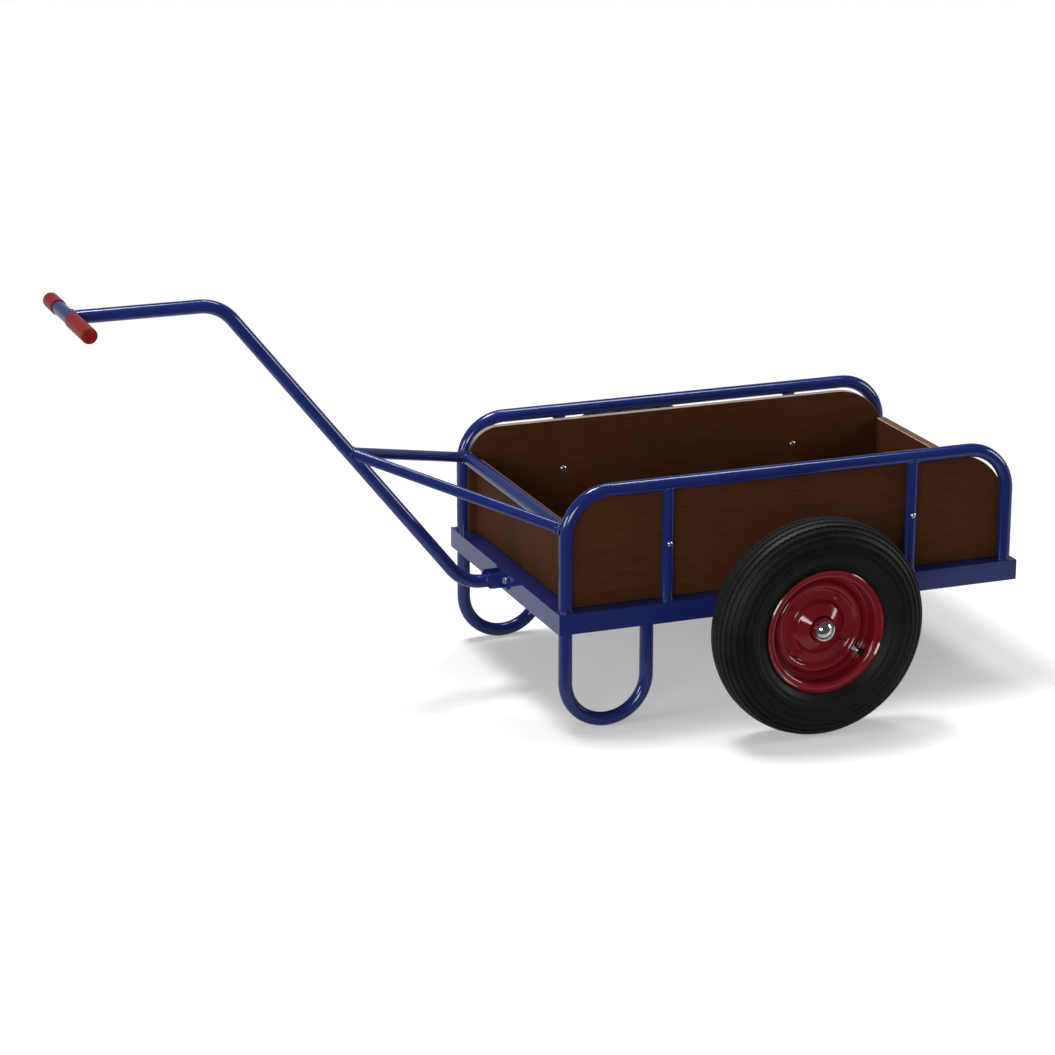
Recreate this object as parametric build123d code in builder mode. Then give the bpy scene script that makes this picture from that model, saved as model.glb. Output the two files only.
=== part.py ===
# Two-wheeled hand cart with a bent-tube drawbar, a T handle and board sides, in millimetres.
# X points forwards to the handle, Y to the left and Z up. The origin is on the floor, in the
# middle of the whole cart's plan outline.
import os

from build123d import *

# Fits and clearances
weld_gap = 0.3  # between a curved face and what it is welded to
board_gap = 0.3  # between a board and the tube or board beside it
bore_clearance = 0.05  # radial, between a shaft and its bore

# Tyres
tyre_diameter = 400.0
tyre_width = 96.0
tyre_tread_width = 62.0
tyre_crown_rise = 7.0  # from the tread's edge up to its middle
tyre_wide_share = 0.42  # of the way out from the rim's edge to the crown, where the tyre is widest
tyre_wall = 8.0

# Wheels of two pressed halves, bolted at a ring in the middle
rim_diameter = 228.0
rim_width = 64.0
rim_flange_height = 13.0
rim_lip = 4.0  # how far the flange's edge turns outwards
rim_ridge_inset = 23.0  # from the tyre's seat inwards to the pressed ridge
rim_ridge_half = 10.0  # half the ridge's width at its foot
rim_ridge_rise = 12.0
rim_boss_width = 21.0  # from the hub outwards to the shoulder of the boss
rim_boss_slope = 7.0  # width of the slope outside that shoulder
rim_boss_rise = 9.0  # at the shoulder
rim_cone_rise = 20.0  # beside the hub
plate_wall = 2.5
press_radius = 5.0  # of the bends in the pressed plate
hub_diameter = 46.0
hub_length = 60.0
cap_diameter = 34.0
cap_height = 9.0
cap_wall = 2.0
axle_diameter = 20.0
axle_end_stub = 3.0  # of the axle past the hub, under the cap
wheel_gap = 98.0  # from the frame's outer face to the tyre

# Frame of folded angle
frame_length = 916.0
frame_width = 570.0
frame_rise = 25.0  # from the axle's axis up to the frame's top
angle_size = 38.0
angle_wall = 3.0
bearer_spacing = 440.0
axle_ahead = 22.0  # of the middle of the frame
axle_plate_width = 84.0
axle_plate_height = 50.0
axle_plate_wall = 6.0
axle_plate_corner = 14.0
sleeve_diameter = 34.0
hub_play = 1.0  # between the sleeve's end and the turning hub

# Side frames of bent tube
tube_diameter = 25.0
post_inset = 19.0  # from the frame's outer faces to the posts' axes
rail_rise = 217.0  # from the frame's top up to the rail's axis
rail_bend_radius = 82.0
mid_post_diameter = 22.0
mid_post_spacing = 486.0
cross_bar_rise = 148.0  # from the frame's top up to the bar's axis

# Boards
board = 12.0
board_arris = 1.0  # chamfer along a board's edges
side_board_height = 205.0
side_board_corners = {"front": 60.0, "rear": 105.0}  # radii of the two upper corners
side_board_inset = 3.0  # from the front post's axis back to the board's front end
cross_bar_notch = 1.0  # clearance round the cross bar where the board is cut out for it
end_board_height = 143.0
end_board_walls = {"front": 12.0, "rear": 18.0}
end_board_setbacks = {"front": 37.0, "rear": 14.0}  # from the frame's end face to the board's outer face

# Stand loops
loop_spacing = 157.0  # between the two legs of one loop

# Drawbar, handle and struts
handle_reach = 794.0  # from the frame's front face to the cross handle's axis
handle_rise = 547.0  # from the frame's top up to the handle's axis
drawbar_diameter = 25.0
drawbar_bend_radius = 75.0
drawbar_upper_bend = 527.0  # from the frame's front face to the corner of the path
drawbar_lower_bend = 77.0
drawbar_foot_drop = 17.0  # from the frame's top down to the foot's axis
strut_diameter = 20.0
strut_joint_rise = 255.0  # from the frame's top up to the joint on the drawbar
strut_end_inset = 20.0  # from the post's axis to the strut's end
cross_handle_diameter = 25.0
cross_handle_length = 278.0
grip_diameter = 28.5
grip_end_wall = 3.0
grip_end_round = 3.0
grip_lengths = {"left": 118.0, "right": 62.0}
bracket_length = 36.0
bracket_wall = 4.0
bracket_height = 29.0
bracket_plate_width = 60.0
bracket_corner = 8.0

# Places along X are measured from the middle of the frame, which lies behind the origin
frame_x = -(handle_reach + grip_diameter / 2) / 2
front_face_x = frame_x + frame_length / 2
front_post_x = front_face_x - post_inset
rear_post_x = frame_x - frame_length / 2 + post_inset
axle_x = frame_x + axle_ahead
handle_x = front_face_x + handle_reach
upper_bend_x = front_face_x + drawbar_upper_bend
lower_bend_x = front_face_x + drawbar_lower_bend

# Places along Y and Z
tube_radius = tube_diameter / 2
post_y = frame_width / 2 - post_inset
wheel_y = frame_width / 2 + wheel_gap + tyre_width / 2
axle_z = tyre_diameter / 2
frame_top = axle_z + frame_rise
flange_bottom = frame_top - angle_wall
rail_z = frame_top + rail_rise
cross_bar_z = frame_top + cross_bar_rise
handle_z = frame_top + handle_rise
drawbar_foot_z = frame_top - drawbar_foot_drop
strut_joint_z = frame_top + strut_joint_rise
side_board_y = post_y - tube_radius - board_gap  # outer face of a side board
inside_y = side_board_y - board - board_gap  # half the width between the side boards
sides = {"left": 1, "right": -1}
ends = {"front": 1, "rear": -1}


def save(builder, name):
    """Label a finished piece and write it to its own file."""
    builder.part.label = name
    export_step(builder.part, f"parts/{name}.step")


def crosswise(x):
    """A plane across the cart at x, with its own x to the left and its own y up."""
    return Plane(origin=(x, 0, 0), x_dir=(0, 1, 0), z_dir=(1, 0, 0))


def lengthwise(y):
    """A plane along the cart at y, with its own x forwards and its own y up."""
    return Plane.XZ.offset(-y)


def along_line(start, end):
    """A plane at start whose normal points to end."""
    return Plane(origin=start, z_dir=Vector(*end) - Vector(*start))


os.makedirs("parts", exist_ok=True)

# Frame: four folded angles with the flange on top, turned inwards, and mitred corners
with BuildSketch() as angle_profile:
    with BuildLine():
        Polyline(
            (0, 0),
            (angle_size, 0),
            (angle_size, -angle_wall),
            (angle_wall, -angle_wall),
            (angle_wall, -angle_size),
            (0, -angle_size),
            close=True,
        )
    make_face()

for side, across in sides.items():
    start = (frame_x + across * frame_length / 2, across * frame_width / 2, frame_top)
    with BuildPart() as frame_side:
        with BuildSketch(Plane(origin=start, x_dir=(0, -across, 0), z_dir=(-across, 0, 0))):
            add(angle_profile.sketch)
        extrude(amount=frame_length)
        for along in ends.values():
            corner = (frame_x + along * frame_length / 2, across * frame_width / 2, frame_top)
            split(bisect_by=Plane(origin=corner, z_dir=(along, -across, 0)), keep=Keep.BOTTOM)
        # the axle passes through a notch that is open below
        with BuildSketch(lengthwise(across * frame_width / 2)):
            with Locations((axle_x, axle_z)):
                Circle(axle_diameter / 2 + weld_gap)
                Rectangle(axle_diameter + 2 * weld_gap, axle_diameter * 2, align=(Align.CENTER, Align.MAX))
        extrude(amount=angle_wall + weld_gap, both=True, mode=Mode.SUBTRACT)
    save(frame_side, f"frame_side_{side}")

for end, along in ends.items():
    start = (frame_x + along * frame_length / 2, -along * frame_width / 2, frame_top)
    with BuildPart() as frame_end:
        with BuildSketch(Plane(origin=start, x_dir=(-along, 0, 0), z_dir=(0, along, 0))):
            add(angle_profile.sketch)
        extrude(amount=frame_width)
        for across in sides.values():
            corner = (frame_x + along * frame_length / 2, across * frame_width / 2, frame_top)
            split(bisect_by=Plane(origin=corner, z_dir=(-along, across, 0)), keep=Keep.BOTTOM)
    save(frame_end, f"frame_{end}")

    # A bearer of the same angle carries the floor between the side flanges
    bearer_half = frame_width / 2 - angle_size
    start = (frame_x + along * bearer_spacing / 2, -along * bearer_half, frame_top)
    with BuildPart() as bearer:
        with BuildSketch(Plane(origin=start, x_dir=(-along, 0, 0), z_dir=(0, along, 0))):
            add(angle_profile.sketch)
        extrude(amount=2 * bearer_half)
    save(bearer, f"floor_bearer_{end}")

# Side frames: one bent tube each, with two straight posts between its ends
side_frame_corners = [
    (rear_post_x, frame_top),
    (rear_post_x, rail_z),
    (front_post_x, rail_z),
    (front_post_x, frame_top),
]
for side, across in sides.items():
    with BuildPart() as side_frame:
        with BuildLine(lengthwise(across * post_y)) as path:
            FilletPolyline(*side_frame_corners, radius=rail_bend_radius)
        with BuildSketch(Plane(origin=path.line @ 0, z_dir=path.line % 0)):
            Circle(tube_radius)
        sweep()
    save(side_frame, f"side_frame_{side}")

    for end, along in ends.items():
        post_x = frame_x + along * mid_post_spacing / 2
        with BuildPart() as mid_post:
            with BuildSketch(Plane.XY.offset(frame_top)):
                with Locations((post_x, across * post_y)):
                    Circle(mid_post_diameter / 2)
            extrude(amount=rail_z - frame_top)
            # its top is hollowed to the rail
            with BuildSketch(crosswise(post_x)):
                with Locations((across * post_y, rail_z)):
                    Circle(tube_radius + weld_gap)
            extrude(amount=mid_post_diameter, both=True, mode=Mode.SUBTRACT)
        save(mid_post, f"mid_post_{side}_{end}")

# Cross bar between the front posts, its ends hollowed to the bent tubes
with BuildPart() as front_cross_bar:
    with BuildSketch(lengthwise(0)):
        with Locations((front_post_x, cross_bar_z)):
            Circle(tube_radius)
    extrude(amount=post_y, both=True)
    for across in sides.values():
        with BuildLine(lengthwise(across * post_y)) as path:
            FilletPolyline(*side_frame_corners, radius=rail_bend_radius)
        with BuildSketch(Plane(origin=path.line @ 0, z_dir=path.line % 0)):
            Circle(tube_radius + weld_gap)
        sweep(mode=Mode.SUBTRACT)
save(front_cross_bar, "front_cross_bar")

# Boards: the floor and the end boards stand between the two side boards
for side, across in sides.items():
    front_end = front_post_x - side_board_inset
    rear_end = frame_x - frame_length / 2 + end_board_setbacks["rear"]
    with BuildPart() as side_board:
        with BuildSketch(lengthwise(across * side_board_y)) as outline:
            with Locations((front_end, frame_top)):
                Rectangle(front_end - rear_end, side_board_height, align=(Align.MAX, Align.MIN))
            for end, along in ends.items():
                upper_corners = outline.vertices().group_by(Axis.Y)[-1].sort_by(Axis.X)
                fillet(upper_corners[-1 if along > 0 else 0], radius=side_board_corners[end])
            with Locations((front_post_x, cross_bar_z)):
                Circle(tube_radius + cross_bar_notch, mode=Mode.SUBTRACT)
        extrude(amount=across * board)
        chamfer(side_board.faces().filter_by(Axis.Y).edges(), length=board_arris)
    save(side_board, f"side_board_{side}")

for end, along in ends.items():
    with BuildPart() as end_board:
        with BuildSketch(crosswise(frame_x + along * (frame_length / 2 - end_board_setbacks[end]))):
            with Locations((0, frame_top)):
                Rectangle(2 * inside_y, end_board_height, align=(Align.CENTER, Align.MIN))
        extrude(amount=-along * end_board_walls[end])
        chamfer(end_board.faces().filter_by(Axis.X).edges(), length=board_arris)
    save(end_board, f"{end}_board")

floor_front, floor_rear = [
    frame_x + ends[end] * (frame_length / 2 - end_board_setbacks[end] - end_board_walls[end] - board_gap)
    for end in ends
]
with BuildPart() as floor_board:
    with BuildSketch(Plane.XY.offset(frame_top)):
        with Locations((floor_front, 0)):
            Rectangle(floor_front - floor_rear, 2 * inside_y, align=(Align.MAX, Align.CENTER))
    extrude(amount=board)
save(floor_board, "floor_board")

# Stand loops: a tube bent to a U under each front post
for side, across in sides.items():
    loop_radius = loop_spacing / 2
    with BuildPart() as stand_loop:
        with BuildLine(lengthwise(across * post_y)) as path:
            down = Line((front_post_x, flange_bottom), (front_post_x, tube_radius + loop_radius))
            turn = JernArc(down @ 1, down % 1, loop_radius, -180)
            Line(turn @ 1, (front_post_x - loop_spacing, flange_bottom))
        with BuildSketch(Plane(origin=path.line @ 0, z_dir=path.line % 0)):
            Circle(tube_radius)
        sweep()
    save(stand_loop, f"stand_loop_{side}")

# Cross handle and its two grips
with BuildPart() as cross_handle:
    with BuildSketch(lengthwise(0)):
        with Locations((handle_x, handle_z)):
            Circle(cross_handle_diameter / 2)
    extrude(amount=cross_handle_length / 2, both=True)
save(cross_handle, "cross_handle")

for side, across in sides.items():
    end_y = across * (cross_handle_length / 2 + grip_end_wall)
    with BuildPart() as grip:
        with BuildSketch(lengthwise(end_y)):
            with Locations((handle_x, handle_z)):
                Circle(grip_diameter / 2)
        extrude(amount=across * grip_lengths[side])
        outer_end = grip.faces().sort_by(Axis.Y)[-1 if across > 0 else 0]
        fillet(outer_end.edges(), radius=grip_end_round)
        with BuildSketch(lengthwise(end_y - across * grip_end_wall)):
            with Locations((handle_x, handle_z)):
                Circle(cross_handle_diameter / 2 + bore_clearance)
        extrude(amount=across * grip_lengths[side], mode=Mode.SUBTRACT)
    save(grip, f"grip_{side}")

# Drawbar: level at the foot, steep in the middle and level again at the handle
upper_corner = (upper_bend_x, 0, handle_z)
with BuildPart() as drawbar:
    with BuildLine(lengthwise(0)) as path:
        FilletPolyline(
            (front_face_x + bracket_wall + weld_gap, drawbar_foot_z),
            (lower_bend_x, drawbar_foot_z),
            (upper_bend_x, handle_z),
            (handle_x, handle_z),
            radius=drawbar_bend_radius,
        )
    with BuildSketch(Plane(origin=path.line @ 0, z_dir=path.line % 0)):
        Circle(drawbar_diameter / 2)
    sweep()
    # its upper end is hollowed to the cross handle
    with BuildSketch(lengthwise(0)):
        with Locations((handle_x, handle_z)):
            Circle(cross_handle_diameter / 2 + weld_gap)
    extrude(amount=drawbar_diameter, both=True, mode=Mode.SUBTRACT)
save(drawbar, "drawbar")

# Drawbar bracket: a plate on the frame's front face with a cheek on each side of the tube
cheek_inside = drawbar_diameter / 2 + weld_gap
with BuildPart() as drawbar_bracket:
    with BuildSketch(Plane.XY.offset(frame_top - bracket_height)):
        with Locations((front_face_x, 0)):
            Rectangle(bracket_wall, bracket_plate_width, align=(Align.MIN, Align.CENTER))
        for across in sides.values():
            with Locations((front_face_x, across * (cheek_inside + bracket_wall / 2))):
                Rectangle(bracket_length, bracket_wall, align=(Align.MIN, Align.CENTER))
    extrude(amount=bracket_height)
    free_ends = drawbar_bracket.edges().filter_by(Axis.Y).group_by(Axis.X)[-1]
    fillet(free_ends, radius=bracket_corner)
save(drawbar_bracket, "drawbar_bracket")

# Struts from the steep run of the drawbar to the ends of the cross bar
steepness = (handle_z - drawbar_foot_z) / (upper_bend_x - lower_bend_x)
strut_joint_x = lower_bend_x + (strut_joint_z - drawbar_foot_z) / steepness
strut_joint = (strut_joint_x, 0, strut_joint_z)
for side, across in sides.items():
    strut_end = (front_post_x, across * (post_y - strut_end_inset), cross_bar_z)
    with BuildPart() as strut:
        with BuildSketch(along_line(strut_joint, strut_end)):
            Circle(strut_diameter / 2)
        extrude(amount=(Vector(*strut_end) - Vector(*strut_joint)).length)
        # hollowed to the drawbar, the cross bar and the post
        with BuildSketch(along_line(strut_joint, upper_corner)):
            Circle(drawbar_diameter / 2 + weld_gap)
        extrude(amount=2 * drawbar_diameter, both=True, mode=Mode.SUBTRACT)
        with BuildSketch(lengthwise(0)):
            with Locations((front_post_x, cross_bar_z)):
                Circle(tube_radius + weld_gap)
        extrude(amount=frame_width, both=True, mode=Mode.SUBTRACT)
        with BuildSketch(Plane.XY.offset(cross_bar_z)):
            with Locations((front_post_x, across * post_y)):
                Circle(tube_radius + weld_gap)
        extrude(amount=tube_diameter, both=True, mode=Mode.SUBTRACT)
    save(strut, f"strut_{side}")

# Axle: one bar through two plates on the frame, with a sleeve outside each plate
hub_outer_y = wheel_y + hub_length / 2
with BuildPart() as axle:
    with BuildSketch(lengthwise(0)):
        with Locations((axle_x, axle_z)):
            Circle(axle_diameter / 2)
    extrude(amount=hub_outer_y + axle_end_stub, both=True)
save(axle, "axle")

for side, across in sides.items():
    with BuildPart() as axle_plate:
        with BuildSketch(lengthwise(across * frame_width / 2)) as outline:
            with Locations((axle_x, frame_top)):
                Rectangle(axle_plate_width, axle_plate_height, align=(Align.CENTER, Align.MAX))
            chamfer(outline.vertices().group_by(Axis.Y)[0], length=axle_plate_corner)
            with Locations((axle_x, axle_z)):
                Circle(axle_diameter / 2 + bore_clearance, mode=Mode.SUBTRACT)
        extrude(amount=-across * axle_plate_wall)
    save(axle_plate, f"axle_plate_{side}")

    sleeve_start = frame_width / 2 + axle_plate_wall
    sleeve_end = wheel_y - hub_length / 2 - hub_play
    with BuildPart() as axle_sleeve:
        with BuildSketch(lengthwise(across * sleeve_start)):
            with Locations((axle_x, axle_z)):
                Circle(sleeve_diameter / 2)
                Circle(axle_diameter / 2 + bore_clearance, mode=Mode.SUBTRACT)
        extrude(amount=-across * (sleeve_end - sleeve_start))
    save(axle_sleeve, f"axle_sleeve_{side}")

# Wheels: each section is drawn in a plane through the axle, its own x outwards from the axle
# and its own y from the wheel's middle towards the outer side of the cart
seat_radius = rim_diameter / 2 - rim_flange_height
flange_half = (rim_width + plate_wall) / 2
ridge_radius = seat_radius - rim_ridge_inset
boss_radius = hub_diameter / 2 + rim_boss_width
cap_foot = hub_length / 2
bead_half = rim_width / 2 - weld_gap
bead_radius = seat_radius + weld_gap
bead_chamfer = press_radius
wide_radius = rim_diameter / 2 + tyre_wide_share * (tyre_diameter - rim_diameter) / 2
shoulder_radius = tyre_diameter / 2 - tyre_crown_rise
for side, across in sides.items():
    middle = (axle_x, across * wheel_y, axle_z)
    section = Plane(origin=middle, x_dir=(1, 0, 0), z_dir=(0, 0, across))
    turning = Axis(middle, (0, across, 0))

    for half, outwards in {"outer": 1, "inner": -1}.items():
        with BuildPart() as rim_half:
            with BuildSketch(section):
                with BuildLine():
                    FilletPolyline(
                        (hub_diameter / 2 + weld_gap + plate_wall / 2, outwards * rim_cone_rise),
                        (boss_radius, outwards * rim_boss_rise),
                        (boss_radius + rim_boss_slope, outwards * plate_wall / 2),
                        (ridge_radius - rim_ridge_half, outwards * plate_wall / 2),
                        (ridge_radius, outwards * rim_ridge_rise),
                        (ridge_radius + rim_ridge_half, outwards * plate_wall / 2),
                        (seat_radius - plate_wall / 2, outwards * plate_wall / 2),
                        (seat_radius - plate_wall / 2, outwards * flange_half),
                        (rim_diameter / 2 - rim_lip, outwards * flange_half),
                        (rim_diameter / 2 - plate_wall / 2, outwards * (flange_half + rim_lip)),
                        radius=[press_radius] * 7 + [plate_wall],
                    )
                trace(line_width=plate_wall)
            revolve(axis=turning)
        save(rim_half, f"rim_{half}_{side}")

    with BuildPart() as hub:
        with BuildSketch(section):
            with Locations((axle_diameter / 2 + bore_clearance, 0)):
                hub_wall = hub_diameter / 2 - axle_diameter / 2 - bore_clearance
                Rectangle(hub_wall, hub_length, align=(Align.MIN, Align.CENTER))
        revolve(axis=turning)
    save(hub, f"hub_{side}")

    with BuildPart() as hub_cap:
        with BuildSketch(section):
            with BuildLine():
                base = Line((-cap_diameter / 2, cap_foot), (cap_diameter / 2, cap_foot))
                SagittaArc(base @ 0, base @ 1, cap_height)
            make_face()
            with BuildLine():
                base = Line((cap_wall - cap_diameter / 2, cap_foot), (cap_diameter / 2 - cap_wall, cap_foot))
                SagittaArc(base @ 0, base @ 1, cap_height - cap_wall)
            make_face(mode=Mode.SUBTRACT)
            with Locations((0, cap_foot)):
                Rectangle(cap_diameter, cap_height, align=Align.MIN, mode=Mode.INTERSECT)
        revolve(axis=turning)
    save(hub_cap, f"hub_cap_{side}")

    with BuildPart() as tyre:
        with BuildSketch(section):
            with BuildLine():
                wall = ThreePointArc(
                    (rim_diameter / 2, bead_half),
                    (wide_radius, tyre_width / 2),
                    (shoulder_radius, tyre_tread_width / 2),
                )
                crown = ThreePointArc(
                    wall @ 1,
                    (tyre_diameter / 2, 0),
                    (shoulder_radius, -tyre_tread_width / 2),
                )
                other_wall = ThreePointArc(
                    crown @ 1,
                    (wide_radius, -tyre_width / 2),
                    (rim_diameter / 2, -bead_half),
                )
                Polyline(
                    other_wall @ 1,
                    (bead_radius + bead_chamfer, -bead_half),
                    (bead_radius, bead_chamfer - bead_half),
                    (bead_radius, bead_half - bead_chamfer),
                    (bead_radius + bead_chamfer, bead_half),
                    wall @ 0,
                )
            make_face()
            # the air space, open to the rim
            with BuildLine():
                wall = ThreePointArc(
                    (rim_diameter / 2, bead_half - tyre_wall),
                    (wide_radius, tyre_width / 2 - tyre_wall),
                    (shoulder_radius - tyre_wall, tyre_tread_width / 2 - tyre_wall),
                )
                crown = ThreePointArc(
                    wall @ 1,
                    (tyre_diameter / 2 - tyre_wall, 0),
                    (shoulder_radius - tyre_wall, tyre_wall - tyre_tread_width / 2),
                )
                other_wall = ThreePointArc(
                    crown @ 1,
                    (wide_radius, tyre_wall - tyre_width / 2),
                    (rim_diameter / 2, tyre_wall - bead_half),
                )
                Polyline(
                    other_wall @ 1,
                    (bead_radius, tyre_wall - bead_half),
                    (bead_radius, bead_half - tyre_wall),
                    wall @ 0,
                )
            make_face(mode=Mode.SUBTRACT)
        revolve(axis=turning)
    save(tyre, f"tyre_{side}")
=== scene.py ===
# A two-wheeled hand cart with a bent-tube drawbar on a white studio floor, in metres.
# X points forwards to the handle, Y to the cart's left and Z up, as in the frame.
import math
import random

import bmesh
import bpy
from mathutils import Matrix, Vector


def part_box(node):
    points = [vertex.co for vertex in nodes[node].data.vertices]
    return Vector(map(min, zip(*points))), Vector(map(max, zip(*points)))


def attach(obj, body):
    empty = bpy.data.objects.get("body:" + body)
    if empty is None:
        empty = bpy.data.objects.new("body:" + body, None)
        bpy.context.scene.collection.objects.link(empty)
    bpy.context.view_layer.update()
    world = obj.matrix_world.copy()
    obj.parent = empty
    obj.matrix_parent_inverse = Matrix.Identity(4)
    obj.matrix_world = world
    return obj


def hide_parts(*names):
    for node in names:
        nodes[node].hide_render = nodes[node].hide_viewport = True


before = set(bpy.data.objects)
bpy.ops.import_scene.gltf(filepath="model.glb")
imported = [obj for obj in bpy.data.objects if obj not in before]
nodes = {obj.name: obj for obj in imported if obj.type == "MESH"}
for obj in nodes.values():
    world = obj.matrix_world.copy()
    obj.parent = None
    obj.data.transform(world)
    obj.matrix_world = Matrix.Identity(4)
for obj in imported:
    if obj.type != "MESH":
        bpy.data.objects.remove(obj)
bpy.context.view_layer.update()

scene = bpy.context.scene
sides = {"left": 1, "right": -1}
ends = ("front", "rear")
forwards, leftwards, upwards = (1, 0, 0), (0, 1, 0), (0, 0, 1)


# Places read from the frame

def middle(node):
    """The middle of a CAD node's box."""
    low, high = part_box(node)
    return (low + high) / 2


def span(node):
    """The size of a CAD node's box along X, Y and Z."""
    low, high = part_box(node)
    return high - low


def distances_out(node):
    """How far a node's inner and outer ends are from the cart's middle plane."""
    return sorted(abs(corner.y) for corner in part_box(node))


tube_radius = span("side_frame_left").y / 2
mid_post_radius = span("mid_post_left_front").x / 2
drawbar_radius = span("drawbar").y / 2
handle_radius = span("cross_handle").x / 2
sleeve_radius = span("axle_sleeve_left").x / 2
tyre_radius = span("tyre_left").z / 2

side_frame_low, side_frame_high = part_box("side_frame_left")
frame_low, frame_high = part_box("frame_side_left")
plate_low, plate_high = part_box("axle_plate_left")
bracket_low, bracket_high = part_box("drawbar_bracket")
frame_top = frame_high.z
post_y = middle("side_frame_left").y
end_post_x = {"front": side_frame_high.x - tube_radius, "rear": side_frame_low.x + tube_radius}
rail_z = side_frame_high.z - tube_radius
cross_bar_z = middle("front_cross_bar").z
handle = middle("cross_handle")
drawbar_foot_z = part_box("drawbar")[0].z + drawbar_radius
axle = middle("axle")
wheel_y = middle("tyre_left").y


# Material helpers

def shader(tree, kind, inputs=None, **settings):
    """Add a shader node, set its input values and its own settings, and return it."""
    made = tree.nodes.new(kind)
    for name, value in settings.items():
        setattr(made, name, value)
    for name, value in (inputs or {}).items():
        made.inputs[name].default_value = value
    return made


def place_in(tree):
    """The surface's own coordinates in metres, which move with the piece."""
    return shader(tree, "ShaderNodeTexCoord").outputs["Object"]


def new_material(name):
    """A material with its tree, its Principled shader and the surface's place."""
    material = bpy.data.materials.new(name)
    material.use_nodes = True
    tree = material.node_tree
    return material, tree, tree.nodes["Principled BSDF"], place_in(tree)


def noise(tree, where, scale, detail=3.0, roughness=0.5, stretch=(1, 1, 1)):
    """A noise texture at that scale, in features per metre, stretched along the axes."""
    mapping = shader(tree, "ShaderNodeMapping", {"Scale": stretch})
    texture = shader(tree, "ShaderNodeTexNoise",
                     {"Scale": scale, "Detail": detail, "Roughness": roughness})
    tree.links.new(where, mapping.inputs["Vector"])
    tree.links.new(mapping.outputs["Vector"], texture.inputs["Vector"])
    return texture.outputs["Fac"]


def ranged(tree, value, low, high, new_low=0.0, new_high=1.0):
    """Map a value from one range to another, held at its ends."""
    mapped = shader(tree, "ShaderNodeMapRange",
                    {"From Min": low, "From Max": high, "To Min": new_low, "To Max": new_high})
    tree.links.new(value, mapped.inputs["Value"])
    return mapped.outputs["Result"]


def mixed(tree, share, first, second):
    """Mix two colours, each a value or a socket, by a share socket."""
    mix = shader(tree, "ShaderNodeMix", data_type="RGBA")
    tree.links.new(share, mix.inputs["Factor"])
    for colour, name in ((first, "A"), (second, "B")):
        socket = next(s for s in mix.inputs if s.name == name and s.type == "RGBA")
        if isinstance(colour, bpy.types.NodeSocket):
            tree.links.new(colour, socket)
        else:
            socket.default_value = (*colour, 1)
    return next(s for s in mix.outputs if s.type == "RGBA")


def sums(tree, operation, first, second):
    """One Math node on two values or sockets."""
    made = shader(tree, "ShaderNodeMath", operation=operation)
    for value, socket in ((first, made.inputs[0]), (second, made.inputs[1])):
        if isinstance(value, bpy.types.NodeSocket):
            tree.links.new(value, socket)
        else:
            socket.default_value = value
    return made.outputs["Value"]


def split_up(tree, vector):
    """The X, Y and Z sockets of a vector socket, by name."""
    parts = shader(tree, "ShaderNodeSeparateXYZ")
    tree.links.new(vector, parts.inputs["Vector"])
    return parts.outputs


def dressed(tree, principled, colour, roughness, height, depth):
    """Link a colour, a roughness and a height, which is a bump of that depth in metres."""
    tree.links.new(colour, principled.inputs["Base Color"])
    tree.links.new(roughness, principled.inputs["Roughness"])
    bump = shader(tree, "ShaderNodeBump", {"Distance": depth, "Strength": 1.0})
    tree.links.new(height, bump.inputs["Height"])
    tree.links.new(bump.outputs["Normal"], principled.inputs["Normal"])


# Materials

def enamel(name, colour, shade, gloss, specular):
    """Glossy paint on steel: faint clouding, orange peel and a slightly uneven gloss."""
    material, tree, principled, where = new_material(name)
    cloud = ranged(tree, noise(tree, where, scale=9.0, detail=4.0), 0.35, 0.65)
    haze = noise(tree, where, scale=40.0, detail=5.0, roughness=0.65)
    orange_peel = noise(tree, where, scale=420.0, detail=2.0)
    dressed(tree, principled, mixed(tree, cloud, shade, colour),
            ranged(tree, haze, 0.3, 0.7, *gloss), orange_peel, depth=0.00004)
    principled.inputs["IOR"].default_value = 1.40
    principled.inputs["Specular IOR Level"].default_value = specular
    return material


film_dark, film_light = (0.042, 0.0142, 0.0048), (0.059, 0.0205, 0.0070)
film_blotch = (0.070, 0.0235, 0.0075)
# Painted shade: the dark colour given to board edges that face sideways or down
painted_shade_edge = (0.032, 0.018, 0.011)
pale_edge = {"wood": [(0.20, 0.155, 0.125), (0.34, 0.29, 0.26)],
             "seal": [(0.15, 0.12, 0.10), (0.26, 0.225, 0.205)]}
brown_edge = {"wood": [(0.26, 0.19, 0.135), (0.44, 0.36, 0.30)],
              "seal": [(0.075, 0.042, 0.024), (0.115, 0.070, 0.044)]}


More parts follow.
